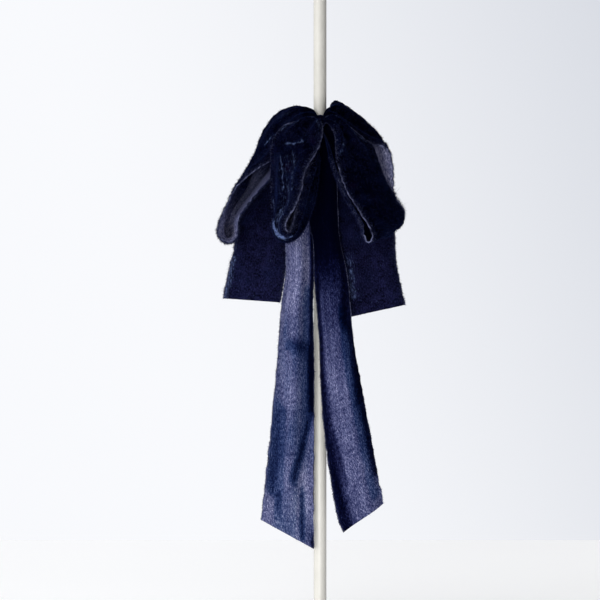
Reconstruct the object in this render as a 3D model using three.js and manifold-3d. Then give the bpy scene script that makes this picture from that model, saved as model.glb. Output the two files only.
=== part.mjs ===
// A double bow of wide velvet ribbon tied to a slim upright pole.
// Units are millimetres, +Z is up, and the front of the bow faces -Y.
// The origin is the centre of the pole's foot.

import * as THREE from 'three';
import { mergeVertices } from 'three/addons/utils/BufferGeometryUtils.js';
import Module from 'manifold-3d';

const wasm = await Module();
wasm.setup();

// ---- Driving dimensions ----

const POLE_RADIUS = 8;
const POLE_HEIGHT = 800;
const POLE_SIDES = 36;

const RIBBON_WIDTH = 70;
const CLOTH_THICKNESS = 1.6;
const GATHERED_THICKNESS = 4;     // the squeezed cloth where a strip enters a knot
const GATHERED_CHORD = 16;        // edge to edge there
const SPREAD_CHORD = 40;          // edge to edge where the cloth is one layer again
const TURN_CLEARANCE = 0.35;      // a pleat's inner turn is at least this much over half the thickness
const STEPS_ACROSS = 12;          // facets across a strip
const TANGENT_REACH = 0.02;       // share of a row used to find a strip's direction
const LENGTH_SAMPLES = 48;        // straight pieces used to measure a cross-section
const FIT_ROUNDS = 24;            // halvings used to fit a pleat's height
const WELD_DISTANCE = 1e-4;       // points closer than this are one point

const KNOT_HEIGHT = 612;          // centre of both knots above the foot

// Two bundles of squeezed cloth, both grooved upright and both set at the knot's height.
const BUNDLE_STEPS_ROUND = 22;
const BUNDLE_STEPS_HIGH = 12;

// The waist of the back ribbon: a flat bundle between the pole and the front ribbon's band.
const WAIST = { y: -14.2, halfWidth: 12.6, halfDepth: 5.6, halfHeight: 19, grooves: 5, grooveDepth: 0.07 };

// The front ribbon's knot.
const KNOT = { y: -28.6, halfWidth: 14, halfDepth: 8.5, halfHeight: 13, grooves: 7, grooveDepth: 0.08 };

// The front ribbon's band, squeezed to a thick strap. Its middle line is given from the back of the
// pole round one side to the front; the other side mirrors it.
const BAND = { halfThickness: 2, halfHeight: 8.5, stepsRound: 36, stepsSection: 12 };
const BAND_LINE = [
  { x: 0, y: 10.7 },
  { x: 7.6, y: 7.6 },
  { x: 11.2, y: 0 },
  { x: 14.4, y: -8 },
  { x: 15.6, y: -14 },
  { x: 12, y: -20.6 },
  { x: 0, y: -22.6 },
];

// ---- The strips ----
// A strip is one loop or one tail. Each row is a station along it: the place of the strip's two edges,
// and how far the cloth between them swells towards its pile side, or towards its back if negative.
// `steps` divides each row, `folds` counts the half waves of its lengthwise pleats, `pleatLimit` is
// their greatest height, and `pile` tells on which side of the strip the pile lies.

const COLUMNS = ['xEdge', 'yEdge', 'zEdge', 'xFar', 'yFar', 'zFar', 'swell'];

const BACK_LEFT_LOOP = {
  pile: -1, folds: 4, pleatLimit: 2, steps: 2,
  rows: [
    [-3, -19, 622, -3, -10, 625, 0],
    [-10, -18, 629, -13, -5, 638, 3],
    [-28, -17, 620, -33, 12, 643, 5],
    [-46, -17, 596, -59, 26, 630, 6],
    [-61, -20, 574, -78, 34, 601, 6],
    [-81, -23, 561, -83, 40, 563, 10],
    [-104, -25, 540, -95, 42, 532, 9],
    [-118, -26, 514, -107, 42, 509, 9],
    [-127, -26, 486, -115, 40, 490, 8],
    [-119, -26, 474, -113, 39, 484, 6],
    [-108, -26, 479, -112, 33, 489, 2],
    [-103, -25, 503, -112, 31, 509, 2],
    [-80, -22, 532, -94, 30, 537, 3],
    [-61, -19, 553, -80, 28, 566, 4],
    [-38, -17, 584, -46, 18, 606, 4],
    [-24, -18, 620, -26, 4, 631, 3],
    [-9, -18, 628, -10, -9, 630, 1],
    [-2, -19, 622, -2, -10, 623, 0],
  ],
};

const BACK_RIGHT_LOOP = {
  pile: 1, folds: 4, pleatLimit: 5, steps: 2,
  rows: [
    [3, -19, 622, 3, -10, 625, 0],
    [10, -18, 630, 12, -6, 639, 3],
    [20, -17, 620, 20, 13, 650, 4],
    [40, -16, 604, 41, 26, 639, 4],
    [60, -16, 596, 63, 32, 621, 3],
    [77, -17, 592, 72, 36, 599, 1],
    [87, -18, 582, 64, 40, 592, 1],
    [90, -19, 560, 54, 40, 568, 0],
    [90, -19, 532, 50, 38, 538, 1],
    [85, -19, 516, 50, 36, 520, 3],
    [74, -19, 513, 44, 35, 518, 3],
    [60, -19, 528, 36, 34, 536, 4],
    [44, -18, 560, 32, 28, 572, 4],
    [32, -17, 594, 28, 16, 608, 4],
    [24, -18, 622, 22, 4, 632, 3],
    [9, -18, 629, 9, -9, 631, 1],
    [2, -19, 622, 2, -10, 623, 0],
  ],
};

const SHORT_LEFT_TAIL = {
  pile: 1, folds: 3, pleatLimit: 2.5, steps: 2,
  rows: [
    [-8, -14, 604, 3, -14, 604, 0],
    [-24, -12, 590, 0, -15, 584, 0],
    [-42, -10, 574, -8, -15, 566, 1],
    [-62, -9, 551, -16, -15, 545, 2],
    [-82, -8, 528, -26, -14, 520, 2],
    [-103, -7, 502, -34, -13, 494, 2],
    [-106, -7, 466, -39, -13, 462, 2],
    [-112, -6, 440, -43, -12, 436, 1],
    [-120, -6, 402, -50, -12, 397, 1],
  ],
};

const SHORT_RIGHT_TAIL = {
  pile: 1, folds: 3, pleatLimit: 2.5, steps: 2,
  rows: [
    [-2, -14, 604, 8, -14, 604, 0],
    [1, -15, 580, 22, -13, 588, 0],
    [10, -15, 545, 56, -9, 546, 2],
    [18, -14, 500, 90, -7, 497, 2],
    [27, -13, 446, 97, -6, 448, 2],
    [38, -12, 379, 107, -6, 394, 1],
  ],
};

const FRONT_LEFT_LOOP = {
  pile: -1, folds: 4, pleatLimit: 5, steps: 2,
  rows: [
    [-1, -34, 610, -9, -27, 614, 0],
    [1, -42, 617, -22, -26, 622, 2],
    [3, -52, 609, -45, -24, 617, 4],
    [1, -60, 597, -58, -26, 600, 4],
    [-5, -68, 582, -61, -28, 580, 5],
    [-19, -78, 557, -61, -29, 551, 5],
    [-23, -85, 535, -60, -30, 524, 5],
    [-32, -88, 512, -60, -30, 503, 4],
    [-41, -89, 498, -60, -30, 488, 3],
    [-42, -89, 488, -55, -31, 479, 3],
    [-38, -87, 484, -42, -32, 476, 3],
    [-35, -84, 491, -26, -34, 487, 4],
    [-29, -82, 514, -13, -36, 513, 5],
    [-22, -78, 541, -8, -36, 541, 5],
    [-13, -68, 566, -8, -34, 567, 4],
    [-8, -50, 594, -7, -30, 596, 2],
    [-4, -34, 608, -5, -27, 608, 0],
  ],
};

const FRONT_RIGHT_LOOP = {
  pile: 1, folds: 4, pleatLimit: 5, steps: 2,
  rows: [
    [2, -34, 612, 6, -27, 616, 0],
    [8, -42, 619, 19, -26, 625, 2],
    [17, -54, 606, 37, -25, 615, 3],
    [19, -64, 585, 54, -25, 601, 4],
    [21, -68, 571, 65, -26, 592, 4],
    [24, -72, 555, 71, -26, 577, 4],
    [34, -76, 532, 79, -26, 554, 4],
    [52, -78, 504, 92, -27, 529, 4],
    [64, -78, 482, 104, -28, 511, 3],
    [61, -77, 472, 103, -29, 496, 3],
    [55, -76, 481, 92, -30, 488, 4],
    [48, -74, 496, 74, -30, 501, 4],
    [33, -71, 526, 56, -30, 529, 4],
    [20, -66, 558, 38, -30, 561, 4],
    [11, -50, 590, 18, -30, 596, 3],
    [4, -34, 608, 6, -27, 608, 0],
  ],
};

const LONG_LEFT_TAIL = {
  pile: -1, folds: 3, pleatLimit: 3.5, steps: 2,
  rows: [
    [-11, -29, 614, 0, -29, 614, 0],
    [-28, -28, 570, -7, -28, 572, -1],
    [-42, -26, 500, -9, -26, 500, -3],
    [-42, -25, 440, -8, -25, 440, -4],
    [-48, -24, 390, -9, -24, 385, -5],
    [-54, -23, 310, -7, -23, 305, -5],
    [-64, -22, 210, -8, -22, 195, -4],
    [-73, -20, 126, -8, -20, 90, -2],
  ],
};

const LONG_RIGHT_TAIL = {
  pile: -1, folds: 2, pleatLimit: 3.5, steps: 2,
  rows: [
    [0, -29, 618, 14, -29, 618, 0],
    [1, -31, 600, 19, -31, 600, -1],
    [-8, -29, 552, 20, -28, 560, -2],
    [-13, -27, 500, 22, -26, 504, -4],
    [-6, -26, 468, 24, -25, 474, -5],
    [-3, -25, 425, 34, -24, 426, -6],
    [-2, -24, 357, 42, -23, 355, -7],
    [2, -23, 274, 55, -22, 284, -8],
    [10, -21, 201, 67, -21, 218, -7],
    [21, -20, 134, 76, -20, 164, -5],
    [29, -19, 111, 79, -19, 147, -4],
  ],
};

// ---- Shaping the strips ----

// Catmull-Rom through one column of a strip's rows, at row number `at`.
function columnAt(rows, column, at) {
  const last = rows.length - 1;
  const base = Math.min(Math.floor(at), last - 1);
  const part = at - base;
  const value = (row) => rows[Math.max(0, Math.min(last, row))][column];
  const [a, b, c, d] = [value(base - 1), value(base), value(base + 1), value(base + 2)];
  const cubic = (3 * (b - c) + d - a) * part;
  const square = (2 * a - 5 * b + 4 * c - d + cubic) * part;
  return b + 0.5 * part * (c - a + square);
}

function stationAt(rows, at) {
  const station = {};
  COLUMNS.forEach((name, column) => {
    station[name] = columnAt(rows, column, at);
  });
  station.edge = new THREE.Vector3(station.xEdge, station.yEdge, station.zEdge);
  station.far = new THREE.Vector3(station.xFar, station.yFar, station.zFar);
  station.middle = station.edge.clone().add(station.far).multiplyScalar(0.5);
  return station;
}

// Height of the cloth over the straight line between its edges.
function crossHeight(across, swell, pleat, folds) {
  return 4 * swell * across * (1 - across) + pleat * Math.sin(Math.PI * folds * across);
}

function crossLength(chord, swell, pleat, folds) {
  let length = 0;
  for (let i = 0; i < LENGTH_SAMPLES; i += 1) {
    const here = crossHeight(i / LENGTH_SAMPLES, swell, pleat, folds);
    const next = crossHeight((i + 1) / LENGTH_SAMPLES, swell, pleat, folds);
    length += Math.hypot(chord / LENGTH_SAMPLES, next - here);
  }
  return length;
}

function thicknessAt(chord) {
  const spread = THREE.MathUtils.smoothstep(chord, GATHERED_CHORD, SPREAD_CHORD);
  return THREE.MathUtils.lerp(GATHERED_THICKNESS, CLOTH_THICKNESS, spread);
}

// The pleat height that uses up the whole cut width, as far as its turns leave room for the cloth.
function pleatHeight(chord, swell, folds, limit) {
  const turnRadius = thicknessAt(chord) / 2 + TURN_CLEARANCE;
  let high = Math.min(limit, (chord / (Math.PI * folds)) ** 2 / turnRadius);
  let low = 0;
  if (crossLength(chord, swell, high, folds) < RIBBON_WIDTH) {
    return high;
  }
  for (let i = 0; i < FIT_ROUNDS; i += 1) {
    const middle = (low + high) / 2;
    if (crossLength(chord, swell, middle, folds) < RIBBON_WIDTH) {
      low = middle;
    } else {
      high = middle;
    }
  }
  return low;
}

// A grid of points over the strip's middle surface.
function middleSurface(strip, rowSteps, acrossSteps) {
  const grid = [];
  const lastRow = strip.rows.length - 1;
  for (let i = 0; i <= lastRow * rowSteps; i += 1) {
    const at = i / rowSteps;
    const station = stationAt(strip.rows, at);
    const before = stationAt(strip.rows, Math.max(0, at - TANGENT_REACH)).middle;
    const after = stationAt(strip.rows, Math.min(lastRow, at + TANGENT_REACH)).middle;
    const along = after.sub(before).normalize();
    const chordLine = station.far.clone().sub(station.edge);
    const chord = chordLine.length();
    const outward = along.cross(chordLine).normalize().multiplyScalar(strip.pile);
    const pleat = pleatHeight(chord, station.swell, strip.folds, strip.pleatLimit);
    const line = [];
    for (let j = 0; j <= acrossSteps; j += 1) {
      const across = j / acrossSteps;
      const height = crossHeight(across, station.swell, pleat, strip.folds);
      const point = station.edge.clone().lerp(station.far, across);
      line.push(point.addScaledVector(outward, height));
    }
    line.thickness = thicknessAt(chord);
    grid.push(line);
  }
  return grid;
}

function surfaceNormal(grid, i, j) {
  const rows = grid.length - 1;
  const columns = grid[0].length - 1;
  const along = grid[Math.min(rows, i + 1)][j].clone().sub(grid[Math.max(0, i - 1)][j]);
  const across = grid[i][Math.min(columns, j + 1)].clone().sub(grid[i][Math.max(0, j - 1)]);
  return along.cross(across).normalize();
}

// Closes the grid into a sheet of the cloth's thickness.
function sheetGeometry(grid) {
  const rows = grid.length;
  const columns = grid[0].length;
  const positions = [];
  const faces = [];
  for (const side of [0.5, -0.5]) {
    for (let i = 0; i < rows; i += 1) {
      for (let j = 0; j < columns; j += 1) {
        const normal = surfaceNormal(grid, i, j);
        const point = grid[i][j].clone().addScaledVector(normal, side * grid[i].thickness);
        positions.push(point.x, point.y, point.z);
      }
    }
  }
  const lower = rows * columns;
  const index = (i, j) => i * columns + j;
  const quad = (a, b, c, d) => {
    faces.push(a, b, c, a, c, d);
  };
  for (let i = 0; i < rows - 1; i += 1) {
    for (let j = 0; j < columns - 1; j += 1) {
      quad(index(i, j), index(i + 1, j), index(i + 1, j + 1), index(i, j + 1));
      quad(lower + index(i, j), lower + index(i, j + 1), lower + index(i + 1, j + 1), lower + index(i + 1, j));
    }
  }
  for (let i = 0; i < rows - 1; i += 1) {
    quad(index(i, 0), lower + index(i, 0), lower + index(i + 1, 0), index(i + 1, 0));
    const edge = columns - 1;
    quad(index(i + 1, edge), lower + index(i + 1, edge), lower + index(i, edge), index(i, edge));
  }
  for (let j = 0; j < columns - 1; j += 1) {
    quad(index(0, j + 1), lower + index(0, j + 1), lower + index(0, j), index(0, j));
    const end = rows - 1;
    quad(index(end, j), lower + index(end, j), lower + index(end, j + 1), index(end, j + 1));
  }
  const geometry = new THREE.BufferGeometry();
  geometry.setAttribute('position', new THREE.Float32BufferAttribute(positions, 3));
  geometry.setIndex(faces);
  return geometry;
}

function stripGeometry(strip) {
  return sheetGeometry(middleSurface(strip, strip.steps, STEPS_ACROSS));
}

// A squeezed bundle of cloth: an egg with shallow upright grooves.
function bundleGeometry(bundle) {
  const geometry = new THREE.SphereGeometry(1, BUNDLE_STEPS_ROUND, BUNDLE_STEPS_HIGH);
  const position = geometry.getAttribute('position');
  const point = new THREE.Vector3();
  for (let i = 0; i < position.count; i += 1) {
    point.fromBufferAttribute(position, i);
    const turn = Math.atan2(point.z, point.x);
    const ring = Math.hypot(point.x, point.z);
    const groove = 1 - bundle.grooveDepth * ring * (0.5 + 0.5 * Math.cos(2 * bundle.grooves * turn));
    const x = point.x * groove * bundle.halfWidth;
    const y = bundle.y - point.z * groove * bundle.halfDepth;
    const z = KNOT_HEIGHT + point.y * bundle.halfHeight;
    position.setXYZ(i, x, y, z);
  }
  return geometry;
}

// Squares off a circle's cosine or sine, so that a strap's section has flat sides and round corners.
function squared(value) {
  return Math.sign(value) * Math.sqrt(Math.abs(value));
}

// The closed strap round the pole and the waist.
function bandGeometry() {
  const side = BAND_LINE.map(({ x, y }) => new THREE.Vector3(x, y, KNOT_HEIGHT));
  const mirrored = side.slice(1, -1).reverse().map(({ x, y, z }) => new THREE.Vector3(-x, y, z));
  const line = new THREE.CatmullRomCurve3([...side, ...mirrored], true, 'centripetal');
  const outline = [];
  for (let i = 0; i < BAND.stepsSection; i += 1) {
    const turn = (2 * Math.PI * i) / BAND.stepsSection;
    const up = squared(Math.cos(turn)) * BAND.halfHeight;
    const out = squared(Math.sin(turn)) * BAND.halfThickness;
    outline.push({ up, out });
  }
  return closedSweep(line, outline, BAND.stepsRound);
}

// Sweeps an upright outline round a closed level line.
function closedSweep(line, outline, steps) {
  const positions = [];
  const faces = [];
  const count = outline.length;
  for (let i = 0; i < steps; i += 1) {
    const centre = line.getPointAt(i / steps);
    const along = line.getTangentAt(i / steps);
    const outward = new THREE.Vector3(along.y, -along.x, 0);
    for (let j = 0; j < count; j += 1) {
      const point = centre.clone().addScaledVector(outward, outline[j].out);
      positions.push(point.x, point.y, point.z + outline[j].up);
    }
  }
  for (let i = 0; i < steps; i += 1) {
    const next = (i + 1) % steps;
    for (let j = 0; j < count; j += 1) {
      const beside = (j + 1) % count;
      const corners = [i * count + j, i * count + beside, next * count + beside, next * count + j];
      faces.push(corners[0], corners[1], corners[2], corners[0], corners[2], corners[3]);
    }
  }
  const geometry = new THREE.BufferGeometry();
  geometry.setAttribute('position', new THREE.Float32BufferAttribute(positions, 3));
  geometry.setIndex(faces);
  return geometry;
}

// ---- Joining ----

function solidOf(geometry) {
  const bare = geometry.clone();
  bare.deleteAttribute('normal');
  bare.deleteAttribute('uv');
  const merged = mergeVertices(bare, WELD_DISTANCE);
  const vertProperties = new Float32Array(merged.getAttribute('position').array);
  const triVerts = new Uint32Array(merged.getIndex().array);
  return new wasm.Manifold(new wasm.Mesh({ numProp: 3, vertProperties, triVerts }));
}

function joined(geometries) {
  const solid = geometries.map(solidOf).reduce((whole, next) => whole.add(next));
  const mesh = solid.getMesh();
  const geometry = new THREE.BufferGeometry();
  geometry.setAttribute('position', new THREE.Float32BufferAttribute(mesh.vertProperties, 3));
  geometry.setIndex([...mesh.triVerts]);
  return geometry;
}

// ---- The parts ----

const group = new THREE.Group();

const cream = new THREE.MeshStandardMaterial({ color: 0xe6e2da, roughness: 0.45, metalness: 0 });
const velvet = new THREE.MeshStandardMaterial({ color: 0x10143a, roughness: 0.9, metalness: 0 });

function addPart(name, geometry, material) {
  geometry.computeVertexNormals();
  const mesh = new THREE.Mesh(geometry, material);
  mesh.name = name;
  group.add(mesh);
  return mesh;
}

const poleGeometry = new THREE.CylinderGeometry(POLE_RADIUS, POLE_RADIUS, POLE_HEIGHT, POLE_SIDES);
const pole = addPart('pole', poleGeometry, cream);
pole.rotation.x = Math.PI / 2;
pole.position.z = POLE_HEIGHT / 2;

const backStrips = [BACK_LEFT_LOOP, BACK_RIGHT_LOOP, SHORT_LEFT_TAIL, SHORT_RIGHT_TAIL];
addPart('back_ribbon', joined([bundleGeometry(WAIST), ...backStrips.map(stripGeometry)]), velvet);

const frontStrips = [FRONT_LEFT_LOOP, FRONT_RIGHT_LOOP, LONG_LEFT_TAIL, LONG_RIGHT_TAIL];
const frontPieces = [bandGeometry(), bundleGeometry(KNOT), ...frontStrips.map(stripGeometry)];
addPart('front_ribbon', joined(frontPieces), velvet);

export default group;
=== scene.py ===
# A double bow of hand-dyed velvet ribbon, tied to a slim painted pole.
# The ribbons' tables, their sizes and their hair are in millimetres, and MM makes them metres. The
# materials, the stage, the lights and the camera are in metres.
import math
import random

import bpy
import numpy as np
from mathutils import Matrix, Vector, noise


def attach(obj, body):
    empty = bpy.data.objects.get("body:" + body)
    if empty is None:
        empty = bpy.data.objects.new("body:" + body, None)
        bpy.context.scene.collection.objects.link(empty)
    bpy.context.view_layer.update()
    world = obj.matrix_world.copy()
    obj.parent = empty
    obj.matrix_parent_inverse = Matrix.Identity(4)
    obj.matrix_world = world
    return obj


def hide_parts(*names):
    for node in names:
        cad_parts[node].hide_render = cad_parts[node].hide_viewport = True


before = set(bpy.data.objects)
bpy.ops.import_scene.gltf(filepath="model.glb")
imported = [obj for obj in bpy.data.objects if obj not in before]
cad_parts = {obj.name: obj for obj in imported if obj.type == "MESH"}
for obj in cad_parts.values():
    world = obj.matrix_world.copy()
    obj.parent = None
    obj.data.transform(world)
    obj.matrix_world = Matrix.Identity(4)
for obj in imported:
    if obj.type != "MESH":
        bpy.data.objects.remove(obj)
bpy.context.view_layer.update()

MM = 0.001

# ---- Sizes, in millimetres ----

RIBBON_WIDTH = 70
CLOTH_THICKNESS = 1.4
GATHERED_THICKNESS = 2.2
GATHERED_CHORD = 16
SPREAD_CHORD = 40
TURN_CLEARANCE = 0.35
TANGENT_REACH = 0.02
LENGTH_SAMPLES = 48
FIT_ROUNDS = 24
STEPS_PER_ROW = 13
STEPS_ACROSS = 48
RIM_STEPS = [0.7, 1.5]            # extra columns this far in from each raw edge
RIM_ROOM = 1.3                    # the even columns start this many times as far in as the last
RIM_WIDTH = 0.9                   # how far in from an edge the bare threads show
# Kinds of paint on the cloth: the brushed and bare kinds also carry painted sheen, the navy kind painted
# shade.
PAINT_KINDS = ("brushed_and_sheen", "bare_and_sheen", "blue", "navy_and_shade", "bloom", "rim")
KNOT_HEIGHT = 612
SHARP_ANGLE = 55                  # degrees

# Seeded unevenness. Ripples are rows of height and scale. Reach is how far in from an edge.
CLOTH_RIPPLES = [(0.55, 17), (0.22, 6)]
RIM_RIPPLES, RIM_REACH = [(1.7, 4.5)], 2.5
RAGGED_RIPPLES, RAGGED_REACH = [(0.8, 3), (1.0, 7)], 2.0
BROKEN_RIM = {"ripples": [(1.1, 3.5)], "least": 0.2, "most": 1.5}

WAIST = {"y": -14.2, "half": (12.6, 5.6, 19), "grooves": 5, "depth": 0.10, "fullness": 4}
KNOT = {"y": -28.6, "half": (14, 8.5, 13), "grooves": 7, "depth": 0.12, "fullness": 2}
BUNDLE_STEPS = {"round": 96, "up": 34}
BUNDLE_DENTS = {"depth": 0.06, "scale": 5}
BUNDLE_TIP = 0.985                # how far out the closing point is, as a share of the half height
BAND = {"half_thickness": 1.8, "half_height": 8.6, "folds": 5, "fold_depth": 0.5, "steps": 120,
        "section_steps": 48}
BAND_LINE = [(0, 10.7), (7.6, 7.6), (11.2, 0), (14.4, -8), (15.6, -14), (12, -20.6), (0, -22.6)]

# ---- The strips ----
# Each row is a station along a loop or tail: the place of the strip's two edges, and how far the
# cloth between them swells towards its pile side.
# Columns: x, y, z of the first edge; x, y, z of the far edge; swell.
# "pile" tells with 1 or -1 which side the pile is on, "folds" counts the half waves of the pleats,
# "pleat_limit" is their greatest height, and a "tail" has a cut end that frays.

BACK_STRIPS = {
    "back_left_loop": {"pile": -1, "folds": 4, "pleat_limit": 2, "rows": [
        (-3, -19, 622, -3, -10, 625, 0), (-10, -18, 629, -13, -5, 638, 3),
        (-28, -17, 620, -33, 12, 643, 5), (-46, -17, 596, -59, 26, 630, 4.5),
        (-61, -20, 574, -77, 34, 600, 4), (-81, -23, 561, -83, 40, 563, 8),
        (-104, -25, 540, -95, 42, 532, 6), (-118, -26, 514, -104, 42, 509, 3),
        (-127, -26, 487, -110, 40, 491, 2), (-119, -26, 473, -111, 38, 483, 2),
        (-104, -26, 478, -113, 32, 489, 2), (-101, -25, 503, -112, 31, 509, 2),
        (-80, -22, 532, -94, 30, 537, 3), (-61, -19, 553, -80, 28, 566, 4),
        (-38, -17, 584, -46, 18, 606, 4), (-24, -18, 620, -26, 4, 631, 3),
        (-9, -18, 628, -10, -9, 630, 1), (-2, -19, 622, -2, -10, 623, 0),
    ]},
    "back_right_loop": {"pile": 1, "folds": 4, "pleat_limit": 5, "rows": [
        (3, -19, 622, 3, -10, 625, 0), (10, -18, 630, 12, -6, 639, 3),
        (20, -17, 620, 20, 13, 650, 4), (40, -16, 604, 41, 26, 639, 4),
        (60, -16, 595, 63, 32, 620, 2), (77, -17, 592, 72, 36, 599, 1),
        (87, -18, 582, 58, 40, 594, 1), (90, -19, 560, 54, 40, 568, 0),
        (90, -19, 532, 50, 38, 538, 1), (85, -19, 516, 50, 36, 520, 3),
        (74, -19, 513, 44, 35, 518, 3), (60, -19, 528, 36, 34, 536, 4),
        (44, -18, 560, 32, 28, 572, 4), (32, -17, 594, 28, 16, 608, 4),
        (24, -18, 622, 22, 4, 632, 3), (9, -18, 629, 9, -9, 631, 1),
        (2, -19, 622, 2, -10, 623, 0),
    ]},
    "short_left_tail": {"pile": 1, "folds": 3, "pleat_limit": 2.5, "tail": True, "rows": [
        (-8, -14, 604, 3, -14, 604, 0), (-24, -12, 590, 0, -15, 584, 0),
        (-42, -10, 574, -8, -15, 566, 1), (-62, -9, 551, -16, -15, 545, 2),
        (-82, -8, 528, -26, -14, 520, 2), (-103, -7, 502, -34, -13, 494, 2),
        (-106, -7, 466, -39, -13, 462, 2), (-112, -6, 440, -43, -12, 436, 1),
        (-120, -6, 402, -50, -12, 397, 1),
    ]},
    "short_right_tail": {"pile": 1, "folds": 3, "pleat_limit": 2.5, "tail": True, "rows": [
        (-2, -14, 604, 8, -14, 604, 0), (1, -15, 580, 22, -13, 588, 0),
        (10, -15, 545, 56, -9, 546, 2), (18, -14, 500, 89, -7, 497, 2),
        (27, -13, 446, 94.5, -6, 448, 2), (38, -12, 379, 106, -6, 394, 1),
    ]},
}

FRONT_STRIPS = {
    "front_left_loop": {"pile": -1, "folds": 4, "pleat_limit": 5, "rows": [
        (-1, -34, 610, -9, -27, 614, 0), (1, -42, 617, -22, -26, 622, 2),
        (3, -52, 609, -45, -24, 617, 4), (1, -60, 597, -58, -26, 600, 4),
        (-5, -68, 582, -61, -28, 580, 5), (-19, -78, 557, -61, -29, 551, 5),
        (-23, -85, 535, -60, -30, 524, 5), (-32, -88, 512, -60, -30, 503, 4),
        (-41, -89, 498, -60, -30, 488, 3), (-42, -89, 488, -55, -31, 479, 3),
        (-38, -87, 484, -42, -32, 476, 3), (-35, -84, 491, -26, -34, 487, 4),
        (-29, -82, 514, -13, -36, 513, 5), (-22, -78, 541, -8, -36, 541, 5),
        (-13, -68, 566, -8, -34, 567, 4), (-8, -50, 594, -7, -30, 596, 2),
        (-4, -34, 608, -5, -27, 608, 0),
    ]},
    "front_right_loop": {"pile": 1, "folds": 4, "pleat_limit": 5, "rows": [
        (2, -34, 612, 6, -27, 616, 0), (8, -42, 619, 18, -26, 629, 2),
        (17, -54, 606, 37, -25, 615, 3), (19, -64, 585, 54, -25, 601, 4),
        (20, -68, 571, 65, -26, 592, 4), (24.5, -72, 555, 71, -26, 577, 4),
        (34, -76, 531, 79, -26, 554, 4), (52, -78, 502, 92, -27, 529, 4),
        (63.5, -78, 481, 102.5, -28, 511, 3), (60, -77, 470.5, 103, -29, 496, 3),
        (53, -76, 480, 92, -30, 488, 4), (51, -75, 496, 74, -30, 501, 4),
        (34.2, -72, 525, 56, -30, 529, 4), (21.2, -67, 556, 38, -30, 561, 4),
        (11, -50, 590, 18, -30, 596, 3), (4, -34, 608, 6, -27, 608, 0),
    ]},
    "long_left_tail": {"pile": -1, "folds": 3, "pleat_limit": 3.5, "tail": True, "rows": [
        (-11, -29, 614, 0, -29, 614, 0), (-28, -28, 570, -7, -28, 572, -1),
        (-42, -26, 500, -9, -26, 500, -3), (-42, -25, 440, -7.9, -24, 440, -4),
        (-48, -22, 390, -8.9, -21, 385, -5), (-54, -19, 310, -7.4, -17, 305, -5),
        (-64, -17, 210, -8, -14, 195, -4), (-73, -15, 126, -8, -13, 90, -2),
    ]},
    "long_right_tail": {"pile": -1, "folds": 2, "pleat_limit": 3.5, "tail": True, "rows": [
        (0, -29, 618, 14, -29, 618, 0), (1, -31, 600, 19, -31, 600, -1),
        (-8, -29, 552, 20, -28, 560, -2), (-13, -27, 500, 22, -26, 504, -4),
        (-8, -26, 468, 24, -25, 474, -5), (-6.8, -25, 425, 34, -24, 426, -6),
        (-1.2, -24, 357, 40.5, -23, 355, -7), (2, -23, 274, 53, -22, 284, -8),
        (10, -21, 201, 65, -21, 218, -7), (21, -20, 134, 75, -20, 164, -5),
        (29, -19, 111, 79, -19, 147, -4),
    ]},
}

# ---- Creases, dye, painted sheen and shade, and fringe ----
# A stroke runs from one place on a strip to another, each given by its row number and its share of
# the way across, and has a width in millimetres.

# CREASES raise the cloth along a stroke, or sink it where the height is below zero.
# Columns: row, share; row, share; width; height in millimetres.
CREASES = {
    "front_left_loop": [
        (2.9, 0.64, 3.15, 0.52, 4.4, -5), (3.45, 0.64, 3.5, 0.34, 2.2, 1.6),
        (4.15, 0.74, 5.8, 0.5, 1.8, 1.3), (4.2, 0.42, 5.9, 0.22, 3, 1), (4.4, 0.58, 6.4, 0.36, 3, -1.2),
    ],
    "front_right_loop": [
        (1.7, 0.5, 3.6, 0.1, 3, 1.4), (2.6, 0.7, 5.5, 0.55, 5, -1.2),
    ],
}
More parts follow.
